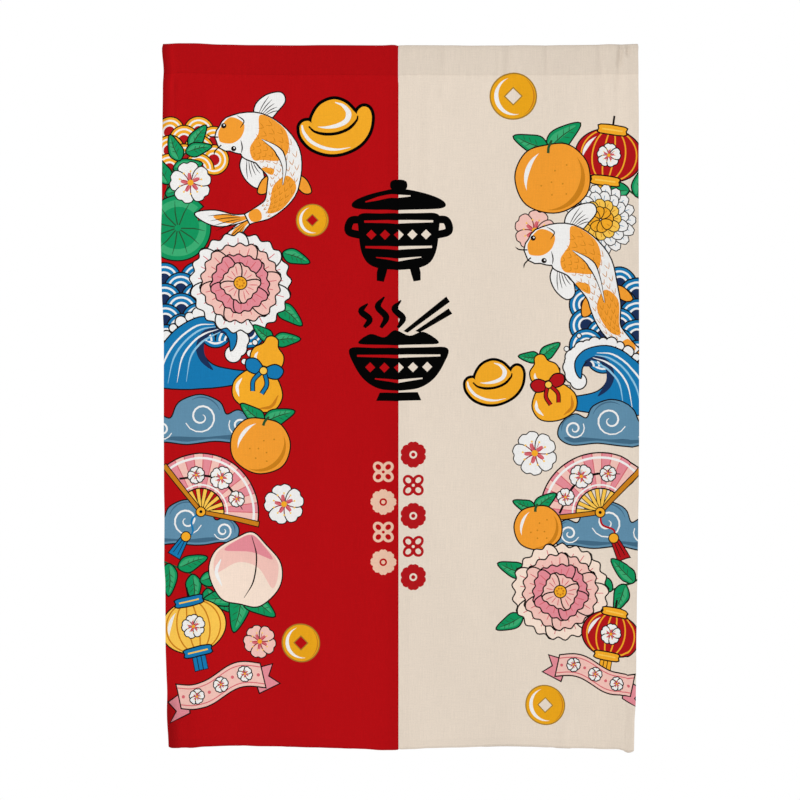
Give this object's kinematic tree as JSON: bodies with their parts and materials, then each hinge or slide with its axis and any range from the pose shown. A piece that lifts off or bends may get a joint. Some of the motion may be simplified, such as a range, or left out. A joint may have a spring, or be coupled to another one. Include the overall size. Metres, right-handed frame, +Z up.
{
  "type": "kitchen door curtain",
  "caption": "Flat-hanging split door curtain in red and beige cloth, with hemmed edges and an empty rod pocket along the top of each panel.",
  "frame": {"origin": "middle of the curtain's top edge, 3 mm to the right of where the two panels meet, in the plane of the cloth", "axes": "+X to the right as seen from the printed front, +Y away from the viewer to the back, +Z up"},
  "size_m": [0.8043, 0.0164, 1.1932],
  "materials": {
    "red_cloth": "matt printed plain weave with slubs",
    "beige_cloth": "matt printed plain weave with slubs"
  },
  "bodies": {
    "root": {"red_panel": "red_cloth", "red_rod_pocket": "red_cloth", "beige_panel": "beige_cloth", "beige_rod_pocket": "beige_cloth"}
  },
  "joints": []
}
